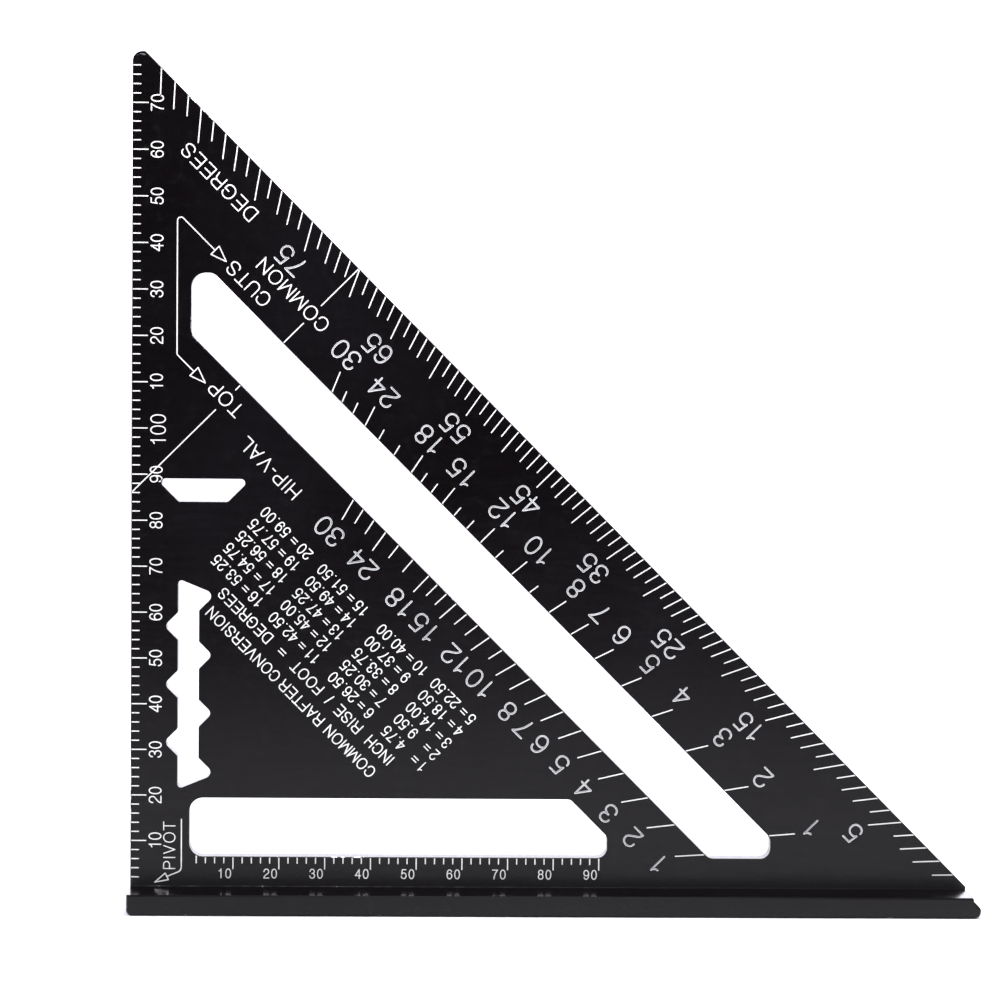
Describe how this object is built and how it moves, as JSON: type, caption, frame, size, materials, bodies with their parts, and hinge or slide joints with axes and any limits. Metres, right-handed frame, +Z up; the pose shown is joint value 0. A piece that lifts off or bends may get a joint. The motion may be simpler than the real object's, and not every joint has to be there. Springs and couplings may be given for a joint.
{
  "type": "rafter square",
  "caption": "Triangular aluminium rafter square: slotted blade on a T-shaped guide fence, with degree, rafter and millimetre scales for marking cuts.",
  "frame": {"origin": "middle of the fence's underside", "axes": "+X along the fence from the upright leg to the toe, +Y through the blade away from the marked face, +Z up the upright leg"},
  "size_m": [0.1848, 0.026, 0.1855],
  "materials": {
    "black_metal": "satin black anodised",
    "mark_paint": "off-white enamel paint"
  },
  "bodies": {
    "root": {"blade": "black_metal", "fence": "black_metal", "leg_ticks": "mark_paint", "leg_numbers": "mark_paint", "slot_ticks": "mark_paint", "slot_numbers": "mark_paint", "degree_ticks": "mark_paint", "degree_numbers": "mark_paint", "common_ticks": "mark_paint", "common_numbers": "mark_paint", "hip_valley_ticks": "mark_paint", "hip_valley_numbers": "mark_paint", "degrees_word": "mark_paint", "common_word": "mark_paint", "hip_valley_word": "mark_paint", "top_cuts_words": "mark_paint", "top_cut_line": "mark_paint", "top_cuts_pointer": "mark_paint", "pivot_word": "mark_paint", "pivot_pointer": "mark_paint", "table_heading": "mark_paint", "table_rise_1_to_5": "mark_paint", "table_rise_6_to_10": "mark_paint", "table_rise_11_to_15": "mark_paint", "table_rise_16_to_20": "mark_paint"}
  },
  "joints": []
}
